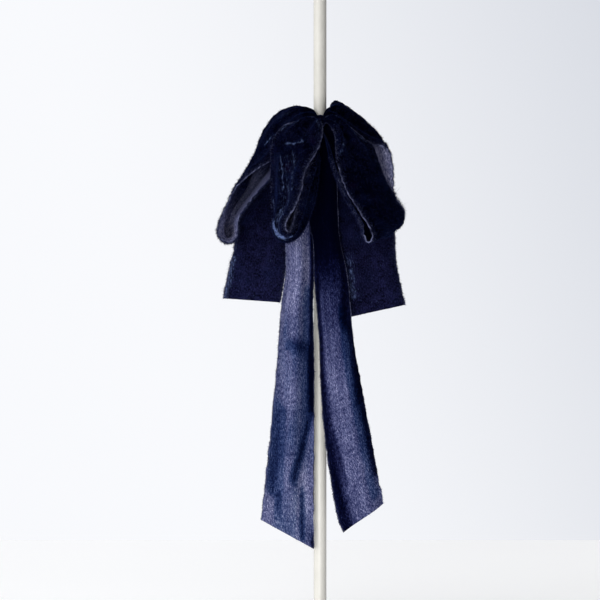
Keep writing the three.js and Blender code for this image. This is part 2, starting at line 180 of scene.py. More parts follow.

# MARKS colour the cloth along strokes, and where two of one kind meet the stronger holds. The brushed
# marks are pile laid over so that it shines blue, and painted blue sheen highlights along folds and
# rims. The bare marks are painted sheen: smooth grey places on the woven back where light falls.
# "blue" and the navy marks are darker dye there, navy also painted shade where a long tail's edges
# curl away, and "pale" takes navy away.
# Columns: row, share; row, share; width; strength.
MARKS = {
    "back_left_loop": {
        "brushed_and_sheen": [
            (3.8, 0.5, 3.35, 0.44, 1.5, 0.5), (3.2, 0.4, 2.6, 0.3, 1.6, 0.45),
            (2.2, 0.55, 3.6, 0.8, 5, 0.2),
        ],
        # Painted sheen where light falls on the lower inside of the loop.
        "bare_and_sheen": [
            (11.3, 0.2, 12.8, 0.3, 18, 0.85), (11, 0.05, 13.2, 0.05, 7, 0.8),
            (11.4, 0.7, 12.6, 0.8, 14, 0.5),
        ],
    },
    "front_left_loop": {
        # Painted sheen highlights along the fold crests and the lower rim, over laid pile.
        "brushed_and_sheen": [
            (2.39, 0.96, 1.61, 0.98, 1.8, 0.45), (1.94, 0.64, 1.61, 0.98, 3, 0.3),
            (3.42, 0.64, 3.48, 0.46, 1.4, 0.62), (3.48, 0.46, 3.38, 0.32, 1.4, 0.55),
            (3.1, 0.36, 3.38, 0.32, 2, 0.5), (4.17, 0.72, 4.83, 0.56, 1, 0.6),
            (4.83, 0.56, 5.72, 0.49, 1, 0.5), (4.06, 0.46, 4.83, 0.29, 2.6, 0.35),
            (4.83, 0.29, 5.9, 0.2, 3, 0.35), (4.6, 0.5, 7.2, 0.4, 16, 0.16),
            (5.6, 0.41, 6.72, 0.23, 2.6, 0.5), (6, 0.94, 6.8, 0.9, 1.6, 0.55),
            (6.8, 0.86, 7.83, 0.59, 1.6, 0.65), (7.83, 0.59, 8.61, 0.54, 2.6, 0.75),
            (8.61, 0.54, 9.72, 0.49, 3.4, 0.85), (9.72, 0.49, 10.1, 0.12, 3, 0.8),
            (7.2, 0.4, 9.6, 0.3, 12, 0.5), (1.1, 0.2, 1.9, 0.05, 2, 0.35),
        ],
    },
    "front_right_loop": {"brushed_and_sheen": [(1.4, 0.45, 3.61, 0.08, 3, 0.28), (0.6, 0.95, 3.4, 0.97, 1.5, 0.45)]},
    "short_left_tail": {"brushed_and_sheen": [(4, 0.02, 6.5, 0.01, 3, 0.3), (6.5, 0.01, 8, 0.01, 5, 0.55)]},
    "short_right_tail": {"brushed_and_sheen": [(3.9, 0.14, 4.6, 0.12, 5, 0.38)]},
    "long_left_tail": {
        "blue": [
            (4.6, 0.5, 7, 0.5, 60, 0.3), (3.6, 0.8, 4.6, 0.75, 9, 0.6), (4.6, 0.3, 4.7, 0.9, 8, 0.85),
            (4.8, 0.8, 5.5, 0.8, 10, 0.85), (5.45, 0.86, 6.22, 0.56, 7.5, 1),
            (5.5, 0.15, 6.4, 0.18, 14, 1), (6.2, 0.25, 6.75, 0.3, 7, 0.8),
            (6.34, 0.756, 6.9, 0.775, 5, 0.8),
        ],
        # Dye, with painted shade along the curled right edge.
        "navy_and_shade": [
            (2, 0.97, 4.6, 0.95, 6, 0.9), (4.6, 0.93, 5.4, 0.97, 9, 0.9),
            (4.55, 0.45, 4.65, 0.9, 8, 0.33), (5.4, 0.93, 6.22, 0.56, 4.5, 0.42),
            (5.5, 0.12, 6.4, 0.16, 10, 0.22), (6.46, 0.285, 6.66, 0.3, 4, 0.3),
            (6.34, 0.756, 6.9, 0.775, 3, 0.35), (6.8, 0.985, 7, 0.985, 3, 0.6),
        ],
        "pale": [
            (6.55, 0.5, 7, 0.5, 30, 0.14), (6.05, 0.8, 6.5, 0.8, 14, 0.08),
            (2.4, 0.4, 3.6, 0.42, 3, 0.1),
        ],
        # A painted highlight along the first edge.
        "bare_and_sheen": [(2, 0.02, 3.2, 0.02, 1.6, 0.4)],
    },
    "long_right_tail": {
        # Dye, with painted shade where both sides curl away.
        "navy_and_shade": [
            (4.2, 0.1, 5.1, 0.06, 14, 0.78), (5.1, 0.06, 5.7, 0, 9, 0.78),
            (5.7, 0, 7.1, 0.04, 8.5, 0.78), (7.1, 0.04, 8.3, 0.08, 11, 0.78),
            (8.3, 0.08, 10, 0.12, 13, 0.74), (7.5, 0.18, 8.5, 0.3, 5, 0.5),
            (4.2, 0.88, 5.7, 0.86, 20, 0.78), (5.7, 0.92, 6.2, 0.98, 10, 0.78),
            (6.2, 0.98, 7.1, 0.94, 11, 0.78), (7.1, 0.95, 8.5, 1, 8, 0.74),
        ],
        "blue": [(5.6, 0.74, 7.5, 0.8, 8, 0.7), (7.5, 0.8, 9, 0.85, 9, 0.55)],
    },
}

# PAINT tells, from row to row, how light the two raw edges are, how light the woven back's dye is, and
# how strong the greyish bloom on the pile is, each from 0 to about 1. The dye column is also painted
# light and shade: low for painted shade inside the front loops, at the top inside the back left loop
# and under the knot on the right long tail, and above 1 for painted light inside the back loops.
# Columns: row; first edge; far edge; dye; bloom.
PAINT = {
    # Inside this loop: painted shade at the top, painted light above 1 where light falls on the lower
    # inside.
    "back_left_loop": [
        (0, 0.05, 0.05, 0.1, 0), (3.5, 0.15, 0.05, 0.1, 0), (5, 0.6, 0.05, 0.3, 0),
        (6, 0.5, 0.05, 0.6, 0), (7, 0.3, 0.1, 0.9, 0.1), (8, 0.45, 0.1, 1.2, 0.2),
        (10.2, 0.45, 0.1, 1.2, 0.2), (12.6, 0.15, 0.1, 1, 0), (13.8, 0.05, 0.1, 0.2, 0),
        (17, 0.05, 0.05, 0.1, 0),
    ],
    # Dye above 1 inside the loop is painted light.
    "back_right_loop": [
        (0, 0.05, 0.1, 0.2, 0), (3, 0.1, 0.2, 0.6, 0), (4.5, 0.75, 0.4, 1.16, 0.1),
        (9, 0.75, 0.6, 1.16, 0.1), (11, 0.2, 0.1, 0.6, 0), (16, 0.05, 0.05, 0.2, 0),
    ],
    "short_left_tail": [
        (0, 0.05, 0.05, 0.5, 0), (4, 0.15, 0.05, 0.7, 0.15), (6, 0.3, 0.2, 0.8, 0.55),
        (8, 0.35, 0.25, 0.8, 0.75),
    ],
    "short_right_tail": [
        (0, 0.05, 0.05, 0.5, 0), (3, 0.15, 0.25, 0.7, 0.25), (4, 0.25, 0.4, 0.8, 0.65),
        (5, 0.3, 0.35, 0.8, 0.75),
    ],
    # The dark inside of this loop is painted shade.
    "front_left_loop": [
        (0, 0.4, 0.3, 0.05, 0), (1, 0.85, 0.55, 0.05, 0), (2, 0.85, 0.45, 0.05, 0),
        (3, 0.45, 0.05, 0.05, 0), (5, 0.45, 0, 0.05, 0), (7, 0.65, 0, 0.05, 0), (8.6, 1, 0, 0.2, 0),
        (10.5, 0.7, 0, 0.05, 0), (12, 0.15, 0.05, 0.05, 0), (16, 0.05, 0.05, 0.05, 0),
    ],
    # The dark inside of this loop is painted shade.
    "front_right_loop": [
        (0, 0.1, 0.35, 0.03, 0), (2, 0.05, 0.45, 0.03, 0), (3.2, 0.1, 0.4, 0.03, 0),
        (4.2, 0.05, 0.15, 0.03, 0), (4.6, 0.5, 0.15, 0.03, 0), (6.2, 0.55, 0.2, 0.03, 0),
        (7.5, 0.7, 0.55, 0.03, 0), (8.6, 0.8, 0.3, 0.05, 0), (9.4, 0.8, 0, 0.05, 0),
        (10.3, 0.45, 0, 0.03, 0), (10.9, 0, 0, 0.03, 0), (15, 0, 0, 0.03, 0),
    ],
    "long_left_tail": [
        (0, 0.1, 0.05, 0.4, 0), (2, 0.6, 0.1, 1, 0.3), (4, 0.45, 0.15, 1, 0.7), (7, 0.5, 0.2, 0.95, 0.8),
    ],
    # The dark top rows are painted shadow under the knot.
    "long_right_tail": [
        (0, 0.05, 0.2, 0, 0), (1.5, 0.05, 0.6, 0, 0), (3, 0.05, 0.9, 0, 0), (3.7, 0.1, 0.35, 0, 0),
        (4.4, 0.1, 0.3, 0.1, 0), (5, 0.1, 0.95, 0.42, 0), (5.6, 0.15, 0.95, 0.68, 0),
        (6, 0.2, 0.4, 0.8, 0.6), (6.6, 0.2, 0.3, 0.9, 0.7), (10, 0.25, 0.4, 0.93, 0.8),
    ],
}

# FRINGE tells, from row to row, how long in millimetres the loose threads are.
# Columns: row; on the first edge; on the far edge.
FRINGE = {
    "back_left_loop": [(0, 1.2, 1.2), (6, 1.6, 1.2), (9, 2.4, 1.2), (12, 1.2, 1.2)],
    "back_right_loop": [(0, 1.2, 1.2), (4, 2.4, 1.2), (9, 2.8, 1.2), (12, 1.2, 1.2)],
    "short_left_tail": [(0, 1.2, 1.2), (4, 2.6, 1.4), (6, 3.6, 1.6), (8, 4.2, 1.6)],
    "short_right_tail": [(0, 1.2, 1.2), (2, 1.6, 2.6), (5, 1.8, 3.4)],
    "front_left_loop": [(0, 1.2, 1.0), (2, 1.7, 1.0), (12, 1.7, 1.0)],
    "front_right_loop": [(0, 1.2, 1.4), (5.2, 1.7, 1.6), (6.2, 1.7, 3.0), (7.2, 1.7, 7.5),
                         (8.2, 1.7, 4.0), (9, 1.7, 1.6)],
    "long_left_tail": [(0, 1.2, 1.2), (3, 2.6, 1.5), (7, 2.6, 1.7)],
    "long_right_tail": [(0, 1.2, 1.2), (3, 1.6, 1.6), (5, 2.4, 1.8), (10, 2.2, 2.2)],
}


# ---- Shaping the strips ----

TINY = 1e-9                       # keeps a division from failing


def unit(vectors):
    return vectors / np.maximum(np.linalg.norm(vectors, axis=-1, keepdims=True), TINY)


def pairs(first, second):
    """Every pair from a row and a column of values."""
    return np.stack(np.broadcast_arrays(first, second), axis=-1)


def catmull_rom(rows, at):
    """A table's row at each fractional row number."""
    table = np.asarray(rows, float)
    last = len(table) - 1
    base = np.minimum(at.astype(int), last - 1)
    part = (at - base)[:, None]
    a, b, c, d = (table[np.clip(base + step, 0, last)] for step in (-1, 0, 1, 2))
    cubic = (3 * (b - c) + d - a) * part
    square = (2 * a - 5 * b + 4 * c - d + cubic) * part
    return b + 0.5 * part * (c - a + square)


def middle_line(rows, at):
    station = catmull_rom(rows, np.clip(at, 0, len(rows) - 1))
    return (station[:, 0:3] + station[:, 3:6]) / 2


def cross_height(across, swell, pleat, folds):
    """Height of the cloth over the straight line between its edges."""
    return 4 * swell * across * (1 - across) + pleat * np.sin(math.pi * folds * across)


def thickness_at(chord):
    share = np.clip((chord - GATHERED_CHORD) / (SPREAD_CHORD - GATHERED_CHORD), 0, 1)
    share = share * share * (3 - 2 * share)
    return GATHERED_THICKNESS + (CLOTH_THICKNESS - GATHERED_THICKNESS) * share


def pleat_height(chord, swell, folds, limit):
    """The pleat height that uses up the cut width, as far as the pleats' turns leave room."""
    samples = np.linspace(0, 1, LENGTH_SAMPLES + 1)[None, :]
    turn_radius = thickness_at(chord) / 2 + TURN_CLEARANCE
    high = np.minimum(limit, (chord / (math.pi * folds)) ** 2 / turn_radius)
    low = np.zeros_like(chord)
    for _ in range(FIT_ROUNDS):
        middle = (low + high) / 2
        height = cross_height(samples, swell[:, None], middle[:, None], folds)
        run = chord[:, None] / LENGTH_SAMPLES
        length = np.hypot(run, np.diff(height, axis=1)).sum(axis=1)
        low = np.where(length < RIBBON_WIDTH, middle, low)
        high = np.where(length < RIBBON_WIDTH, high, middle)
    return low


def across_places():
    """Shares of the way across, closer together near the two raw edges."""
    even = np.linspace(0, 1, STEPS_ACROSS + 1)[1:-1]
    rim = np.array(RIM_STEPS) / RIBBON_WIDTH
    room = rim[-1] * RIM_ROOM
    inner = even[(even > room) & (even < 1 - room)]
    return np.concatenate([[0], rim, inner, 1 - rim[::-1], [1]])


def surface_normals(grid, side):
    along = np.gradient(grid, axis=0)
    across = np.gradient(grid, axis=1)
    return unit(np.cross(along, across)) * side


def stroke(stroke_row, place, length_at):
    """How strongly each place on a strip is touched by a stroke, from 0 to 1."""
    row0, across0, row1, across1, width = stroke_row
    start = np.array([length_at(row0), across0 * RIBBON_WIDTH])
    run = np.array([length_at(row1), across1 * RIBBON_WIDTH]) - start
    share = np.clip(((place - start) @ run) / max(run @ run, TINY), 0, 1)
    gap = np.linalg.norm(place - start - share[..., None] * run, axis=-1)
    return np.exp(-(gap / width) ** 2)


NOISE_STRIDES = (7.31, 3.17, 5.53)


def ripple(grid, scale, seed):
    """Smooth seeded noise over a grid of points, from about -1 to 1."""
    offset = Vector([seed * stride for stride in NOISE_STRIDES])
    flat = grid.reshape(-1, 3) / scale
    values = [noise.noise(Vector(point) + offset) for point in flat]
    return np.array(values).reshape(grid.shape[:2])


def ripples(grid, layers, seed):
    return sum(height * ripple(grid, scale, seed + k) for k, (height, scale) in enumerate(layers))


def row_values(table, at):
    """A table's columns at each fractional row number. Its first column says which row it means."""
    table = np.array(table, float)
    return [np.interp(at, table[:, 0], column) for column in table[:, 1:].T]


def flat_strip(strip, at, across):
    """The strip with its swell and pleats, before creases and unevenness."""
    rows = strip["rows"]
    station = catmull_rom(rows, at)
    edge, far, swell = station[:, 0:3], station[:, 3:6], station[:, 6]
    along = unit(middle_line(rows, at + TANGENT_REACH) - middle_line(rows, at - TANGENT_REACH))
    chord_line = far - edge
    chord = np.linalg.norm(chord_line, axis=1)
    outward = unit(np.cross(along, chord_line)) * strip["pile"]
    pleat = pleat_height(chord, swell, strip["folds"], strip["pleat_limit"])
    height = cross_height(across[None, :], swell[:, None], pleat[:, None], strip["folds"])
    grid = edge[:, None, :] + across[None, :, None] * chord_line[:, None, :]
    grid = grid + height[..., None] * outward[:, None, :]
    steps = np.linalg.norm(np.diff((edge + far) / 2, axis=0), axis=1)
    return grid, chord_line, chord, np.concatenate([[0], np.cumsum(steps)])


def painted(name, grid, at, across, rim, touch, seed):
    """The paint at each grid point, and how light the two raw edges are from row to row."""
    near, far, dye_and_painted_light, bloom = row_values(PAINT[name], at)
    paint = {kind: np.zeros(grid.shape[:2]) for kind in PAINT_KINDS}
    # Dye below 1 adds navy and dye above 1 takes it away: dye, painted shade and painted light.
    paint["navy_and_shade"] += 1 - dye_and_painted_light[:, None]
    paint["bloom"] += bloom[:, None]
    for kind, strokes in MARKS.get(name, {}).items():
        for *row, strength in strokes:
            if kind == "pale":
                paint["navy_and_shade"] = paint["navy_and_shade"] - strength * touch(row)
            else:
                paint[kind] = np.maximum(paint[kind], strength * touch(row))
    light = np.where(across[None, :] < 0.5, near[:, None], far[:, None])
    broken = 1.0 + ripples(grid, BROKEN_RIM["ripples"], seed)
    broken = np.clip(broken, BROKEN_RIM["least"], BROKEN_RIM["most"])
    paint["rim"] = light * broken * np.exp(-((rim / RIM_WIDTH) ** 2))
    return paint, (near, far)


def strip_surface(name, strip, seed):
    """The finished middle surface of a strip, and what is painted on it."""
    last = len(strip["rows"]) - 1
    at = np.linspace(0, last, last * STEPS_PER_ROW + 1)
    across = across_places()
    rim = np.minimum(across, 1 - across)[None, :] * RIBBON_WIDTH
    grid, chord_line, chord, lengths = flat_strip(strip, at, across)
    spread = np.clip((chord - GATHERED_CHORD) / SPREAD_CHORD, 0, 1)[:, None]

    place = pairs(lengths[:, None], across[None, :] * RIBBON_WIDTH)

    def touch(row):
        return stroke(row, place, lambda number: np.interp(number, at, lengths))

    normals = surface_normals(grid, strip["pile"])
    detail = ripples(grid, CLOTH_RIPPLES, seed)
    detail = (detail + ripples(grid, RIM_RIPPLES, seed + 2) * np.exp(-rim / RIM_REACH)) * spread
    for *row, height in CREASES.get(name, []):
        detail = detail + height * touch(row)
    grid = grid + detail[..., None] * normals

    sideways = unit(chord_line)[:, None, :] * np.where(across < 0.5, -1, 1)[None, :, None]
    ragged = ripples(grid, RAGGED_RIPPLES, seed + 3) * np.exp(-rim / RAGGED_REACH) * spread
    grid = grid + ragged[..., None] * sideways

    paint, rims = painted(name, grid, at, across, rim, touch, seed + 5)
    return {
        "grid": grid,
        "paint": paint,
        "thickness": thickness_at(chord),
        "cloth": (across * RIBBON_WIDTH, lengths),
        "side": strip["pile"],
        "rims": rims,
        "fringe": row_values(FRINGE[name], at),
        "spread": spread[:, 0],
    }


# ---- Meshes ----

PILE, GROUND, RAW_EDGE = 0, 1, 2


def linked(name, data):
    """A new object in the scene."""
    made = bpy.data.objects.new(name, data)
    bpy.context.scene.collection.objects.link(made)
    return made


class Cloth:
    """Collects closed sheets and bundles into the mesh of one piece."""

    def __init__(self):
        self.points, self.faces, self.kinds, self.cloth = [], [], [], []
        self.paint = {kind: [] for kind in PAINT_KINDS}

    def add_points(self, points, cloth, paint):
        """Adds points, and gives their numbers in the same layout."""
        first = sum(len(block) for block in self.points)
        self.points.append(np.asarray(points).reshape(-1, 3))
        self.cloth.append(np.asarray(cloth).reshape(-1, 2))
        count = len(self.points[-1])
        for kind, values in self.paint.items():
            values.append(np.asarray(paint.get(kind, np.zeros(count))).reshape(-1))
        return first + np.arange(count).reshape(np.shape(points)[:-1])

    def add_faces(self, corners, kind, side=1):
        """Adds faces, with the point numbers of each corner in an array of their own."""
        faces = np.stack(np.broadcast_arrays(*corners), axis=-1).reshape(-1, len(corners))
        self.faces.extend(faces[:, ::side].tolist())
        self.kinds.extend([kind] * len(faces))

    def add_strip(self, surface):
        grid, side = surface["grid"], surface["side"]
        normals = surface_normals(grid, side)
        offset = normals * surface["thickness"][:, None, None] / 2
        across, lengths = surface["cloth"]
        cloth = pairs(across[None, :], lengths[:, None])
        outer = self.add_points(grid + offset, cloth, surface["paint"])
        inner = self.add_points(grid - offset, cloth, surface["paint"])
        self.add_faces((outer[:-1, :-1], outer[1:, :-1], outer[1:, 1:], outer[:-1, 1:]), PILE, side)
        self.add_faces((inner[:-1, :-1], inner[:-1, 1:], inner[1:, 1:], inner[1:, :-1]), GROUND, side)
        over, under = (np.concatenate([ids[:-1, 0], ids[-1, :-1], ids[:0:-1, -1], ids[0, :0:-1]])
                       for ids in (outer, inner))
        self.add_faces((over, under, np.roll(under, -1), np.roll(over, -1)), RAW_EDGE, side)

    def add_closed_grid(self, grid, cloth, ends=None):
        """A surface that closes on itself across its columns, and along its rows or in two ends."""
        ids = self.add_points(grid, cloth, {})
        below, beside = np.roll(ids, -1, axis=0), np.roll(ids, -1, axis=1)
        corners = (ids, below, np.roll(below, -1, axis=1), beside)
        if ends is None:
            self.add_faces(corners, PILE)
            return
        self.add_faces([corner[:-1] for corner in corners], PILE)
        top, bottom = self.add_points(ends, [[0, 0], [0, 0]], {})
        self.add_faces((top, ids[0], beside[0]), PILE)
        self.add_faces((bottom, beside[-1], ids[-1]), PILE)

    def finish(self, name, materials):
        mesh = bpy.data.meshes.new(name)
        points = np.concatenate(self.points) * MM
        mesh.from_pydata(points.tolist(), [], self.faces)
        mesh.polygons.foreach_set("material_index", self.kinds)
        for kind, values in self.paint.items():
            data = np.concatenate(values).astype(np.float32)
            mesh.attributes.new(kind, "FLOAT", "POINT").data.foreach_set("value", data)
        layer = mesh.uv_layers.new(name="cloth")
        cloth = np.concatenate(self.cloth) * MM
        corners = np.empty(len(mesh.loops), np.int32)
        mesh.loops.foreach_get("vertex_index", corners)
        layer.data.foreach_set("uv", cloth[corners].astype(np.float32).ravel())
        for material in materials:
            mesh.materials.append(material)
        mesh.shade_smooth()
        mesh.set_sharp_from_angle(angle=math.radians(SHARP_ANGLE))
        mesh.update()
        return linked(name, mesh)


def add_bundle(cloth, bundle, seed):
    """A squeezed bundle of cloth: an egg with upright grooves."""
    turns = np.linspace(0, 2 * math.pi, BUNDLE_STEPS["round"], endpoint=False)
    heights = np.linspace(-1, 1, BUNDLE_STEPS["up"])[1:-1]
    ring = (1 - np.abs(heights) ** bundle["fullness"]) ** (1 / bundle["fullness"])
    half_x, half_y, half_z = bundle["half"]
    grid = np.empty((len(heights), len(turns), 3))
    groove = 1 - bundle["depth"] * (0.5 + 0.5 * np.cos(2 * bundle["grooves"] * turns))
    grid[..., 0] = ring[:, None] * groove[None, :] * half_x * np.cos(turns)[None, :]
    grid[..., 1] = bundle["y"] + ring[:, None] * groove[None, :] * half_y * np.sin(turns)[None, :]
    grid[..., 2] = KNOT_HEIGHT + heights[:, None] * half_z
    centre = np.array([0, bundle["y"], KNOT_HEIGHT])
    dents = BUNDLE_DENTS["depth"] * np.abs(ripple(grid, BUNDLE_DENTS["scale"], seed))
    grid = centre + (grid - centre) * (1 - dents)[..., None]
    ends = [[0, bundle["y"], KNOT_HEIGHT + end * half_z * BUNDLE_TIP] for end in (-1, 1)]
    laps = pairs(turns[None, :] * half_x, heights[:, None] * half_z)
    cloth.add_closed_grid(grid[:, ::-1], laps, ends)


def squarish(values):
    return np.sign(values) * np.sqrt(np.abs(values))


def add_band(cloth):
    """The strap round the pole and the back ribbon's waist, with its lengthwise folds."""
    side = np.array(BAND_LINE, float)
    line = np.concatenate([side, side[1:-1][::-1] * [-1, 1]])
    closed = np.concatenate([line[-1:], line, line[:2]])
    at = np.linspace(1, len(line) + 1, BAND["steps"], endpoint=False)
    centre = catmull_rom(closed, at)
    along = unit(catmull_rom(closed, at + TANGENT_REACH) - catmull_rom(closed, at - TANGENT_REACH))
    outward = np.stack([along[:, 1], -along[:, 0]], axis=1)
    turns = np.linspace(0, 2 * math.pi, BAND["section_steps"], endpoint=False)
    up = squarish(np.cos(turns)) * BAND["half_height"]
    out = squarish(np.sin(turns)) * BAND["half_thickness"]
    folds = BAND["fold_depth"] * np.cos(BAND["folds"] * math.pi * up / BAND["half_height"] / 2)
    out = out + np.where(np.sin(turns) > 0, folds, 0)
    grid = np.empty((len(at), len(turns), 3))
    grid[..., :2] = centre[:, None, :] + outward[:, None, :] * out[None, :, None]
    grid[..., 2] = KNOT_HEIGHT + up[None, :]
    laps = pairs(up[None, :], np.arange(len(at))[:, None])
    cloth.add_closed_grid(grid[:, ::-1], laps)


# ---- Loose threads and tufts ----

HAIR_SIDES = 3
TIP_CURL = 0.45                   # how far a tip leans over, as a share of the hair's length
END_RIM = 0.15                    # how light the cut ends of the tails are
END_FRINGE = 1.0                  # how long the threads on the cut ends of the tails are
THREAD = {
    "radius": 0.22,
    "per_mm2": 7.0,               # threads for each square millimetre of fringe
    "strip_columns": 3,           # the columns next to an edge that show which way is out
    "root_spread": 0.6,           # how far the roots lie through the cloth's thickness
    "root_depth": 0.3,
    "slant_along": 0.6,
    "slant_up": 0.4,
    "lengths": (0.25, 1.0),       # shares of the fringe's length
    "long_share": 0.04,
    "long_stretch": 2.0,
    "curl_back": 0.4,
    "light": (0.4, 1.2),          # shares of the rim's light
    "own_light": 0.14,
}
TUFT = {
    "radius": 0.27,
    "lengths": (1.2, 3.0),
    "bend_radius": 12,            # a bend tighter than this stands as many tufts up as can be
    "edge_reach": 3,
    "on_flat": 0.05,              # how many stand up on flat cloth, as a share
    "least_spread": 0.3,          # none stand where the cloth is gathered tighter than this
    "root_depth": 0.15,
    "lean": 0.35,
    "droop": 0.2,
    "light": 0.04,
    "edge_light": 0.3,
}
LAY_NUDGE = 1e-3                  # keeps a tuft's lay from having no direction
LEAST_CELL = 0.2                  # cells narrower than this count as this wide, in millimetres


def pick(totals, generator, last):
    """A random place in a row of running totals."""
    return min(int(np.searchsorted(totals, generator.uniform(0, totals[-1]))), last)


def loose_threads(surface, generator, ends_too):
    """The loose threads along a strip's raw edges."""
    grid = surface["grid"]
    normals = surface_normals(grid, surface["side"])
    inward = THREAD["strip_columns"]
    sides = [(grid[:, 0], grid[:, 0] - grid[:, inward], normals[:, 0]),
             (grid[:, -1], grid[:, -1] - grid[:, -1 - inward], normals[:, -1])]
    rims, fringes = list(surface["rims"]), list(surface["fringe"])
    if ends_too:
        sides.append((grid[-1], grid[-1] - grid[-2], normals[-1]))
        rims.append(np.full(grid.shape[1], END_RIM))
        fringes.append(np.full(grid.shape[1], END_FRINGE))
    threads = []
    for (line, outward, normal), rim, fringe in zip(sides, rims, fringes):
        steps = np.linalg.norm(np.diff(line, axis=0), axis=1)
        totals = np.cumsum(steps * fringe[:-1])
        for _ in range(int(totals[-1] * THREAD["per_mm2"])):
            index = pick(totals, generator, len(line) - 2)
            threads.append(loose_thread(line, index, outward[index], normal[index], rim[index],
                                        fringe[index], generator))
    return threads


def loose_thread(line, index, outward, up, light, fringe, generator):
    """One thread: its root, its direction, its curl, its length and how light it is."""
    part = generator.random()
    tangent = unit(line[index + 1] - line[index])
    out = unit(outward)
    start = line[index] * (1 - part) + line[index + 1] * part
    start = start + up * generator.uniform(-THREAD["root_spread"], THREAD["root_spread"])
    start = start - out * THREAD["root_depth"]
    direction = out + tangent * generator.gauss(0, THREAD["slant_along"])
    direction = direction + up * generator.gauss(0, THREAD["slant_up"])
    length = fringe * generator.uniform(*THREAD["lengths"])
    if generator.random() < THREAD["long_share"]:
        length = length * THREAD["long_stretch"]
    curl = tangent * generator.gauss(0, 1) + up * generator.gauss(0, 1) - out * THREAD["curl_back"]
    tone = light * generator.uniform(*THREAD["light"]) + generator.uniform(0, THREAD["own_light"])
    return start, unit(direction), unit(curl), length, tone


def tuft_places(surface):
    """For each cell of a strip: its corner and two sides, its normal, its share of tufts, its light."""
    grid = surface["grid"]
    normals = surface_normals(grid, surface["side"])
    along, across = np.diff(grid, axis=0)[:, :-1], np.diff(grid, axis=1)[:-1]
    sizes = np.linalg.norm(np.cross(along, across), axis=-1)
    turns = (np.diff(normals, axis=0)[:, :-1], np.diff(normals, axis=1)[:-1])
    bend = sum(np.linalg.norm(turn, axis=-1) / np.maximum(np.linalg.norm(side, axis=-1), LEAST_CELL)
               for turn, side in zip(turns, (along, across)))
    rim = np.minimum(surface["cloth"][0], RIBBON_WIDTH - surface["cloth"][0])[:-1]
    near_edge = np.exp(-rim / TUFT["edge_reach"])
    share = TUFT["on_flat"] + np.minimum(bend * TUFT["bend_radius"], 1) ** 2 + near_edge
    share = sizes * share * (surface["spread"][:-1, None] > TUFT["least_spread"])
    up = normals[:-1, :-1]
    root = grid[:-1, :-1] + up * (surface["thickness"][:-1, None, None] / 2 - TUFT["root_depth"])
    light = np.broadcast_to(TUFT["light"] + TUFT["edge_light"] * near_edge, share.shape)
    cells = np.stack([root, across, along], axis=2).reshape(-1, 3, 3)
    return cells, up.reshape(-1, 3), share.ravel(), light.ravel()


def standing_tufts(surfaces, generator, count):
    """Tufts of pile that stand up where the cloth bends and along its raw edges."""
    places = zip(*(tuft_places(surface) for surface in surfaces))
    cells, ups, shares, lights = (np.concatenate(blocks) for blocks in places)
    totals = np.cumsum(shares)
    tufts = []
    for _ in range(count):
        cell = pick(totals, generator, len(totals) - 1)
        corner, across, along = cells[cell]
        start = corner + generator.random() * across + generator.random() * along
        lay = np.array([generator.gauss(mean, TUFT["lean"]) for mean in (0, 0, -TUFT["droop"])])
        tone = lights[cell] * generator.random()
        length = generator.uniform(*TUFT["lengths"])
        tufts.append((start, unit(ups[cell] + lay), unit(lay + LAY_NUDGE), length, tone))
    return tufts


def hair_piece(name, hairs, radius):
    """One piece of many closed slivers, each a loose thread or a tuft."""
    start, direction, curl = (np.array([hair[k] for hair in hairs]) for k in (0, 1, 2))
    length = np.array([hair[3] for hair in hairs])[:, None]
    across = unit(np.cross(direction, curl))
    over = unit(np.cross(across, direction))
    turns = np.linspace(0, 2 * math.pi, HAIR_SIDES, endpoint=False)
    corners = [start + radius * (math.cos(turn) * across + math.sin(turn) * over) for turn in turns]
    corners.append(start + direction * length + curl * length * TIP_CURL)
    tip = HAIR_SIDES
    pattern = [(side, (side + 1) % HAIR_SIDES, tip) for side in range(HAIR_SIDES)]
    pattern.append(tuple(reversed(range(HAIR_SIDES))))
    size = len(corners)
    faces = [tuple(base + corner for corner in face)
             for base in range(0, len(hairs) * size, size) for face in pattern]
    mesh = bpy.data.meshes.new(name)
    mesh.from_pydata((np.stack(corners, axis=1).reshape(-1, 3) * MM).tolist(), [], faces)
    tones = np.repeat([hair[4] for hair in hairs], size).astype(np.float32)
    mesh.attributes.new("rim", "FLOAT", "POINT").data.foreach_set("value", tones)
    mesh.materials.append(THREADS)
    mesh.shade_smooth()
    return linked(name, mesh)


# ---- Materials ----

def new_material(name):
    material = bpy.data.materials.new(name)
    material.use_nodes = True
    return material, material.node_tree, material.node_tree.nodes["Principled BSDF"]


def set_inputs(made, **values):
    """Sets a node's inputs, each named by its socket with _ for a space."""
    for name, value in values.items():
        made.inputs[name.replace("_", " ")].default_value = value


def node(tree, kind, links=None, settings=None, **inputs):
    made = tree.nodes.new(kind)
    for name, value in (settings or {}).items():
        setattr(made, name, value)
    set_inputs(made, **inputs)
    for name, source in (links or {}).items():
        tree.links.new(source, made.inputs[name])
    return made


def attribute(tree, name):
    return node(tree, "ShaderNodeAttribute", settings={"attribute_name": name}).outputs["Fac"]


def maths(tree, operation, *values, clamp=False):
    made = node(tree, "ShaderNodeMath", settings={"operation": operation, "use_clamp": clamp})
    for socket, value in zip(made.inputs, values):
        if isinstance(value, (int, float)):
            socket.default_value = value
        else:
            tree.links.new(value, socket)
    return made.outputs[0]


def weighted(tree, terms):
    """The sum of each value times its weight."""
    total = None
    for value, weight in terms:
        part = maths(tree, "MULTIPLY", value, weight)
        total = part if total is None else maths(tree, "ADD", total, part)
    return total


FIRST_COLOUR, SECOND_COLOUR, MIXED_COLOUR = 6, 7, 2        # sockets of a mix node set to colours
FIRST_VECTOR, SECOND_VECTOR, MIXED_VECTOR = 4, 5, 1        # and of one set to vectors


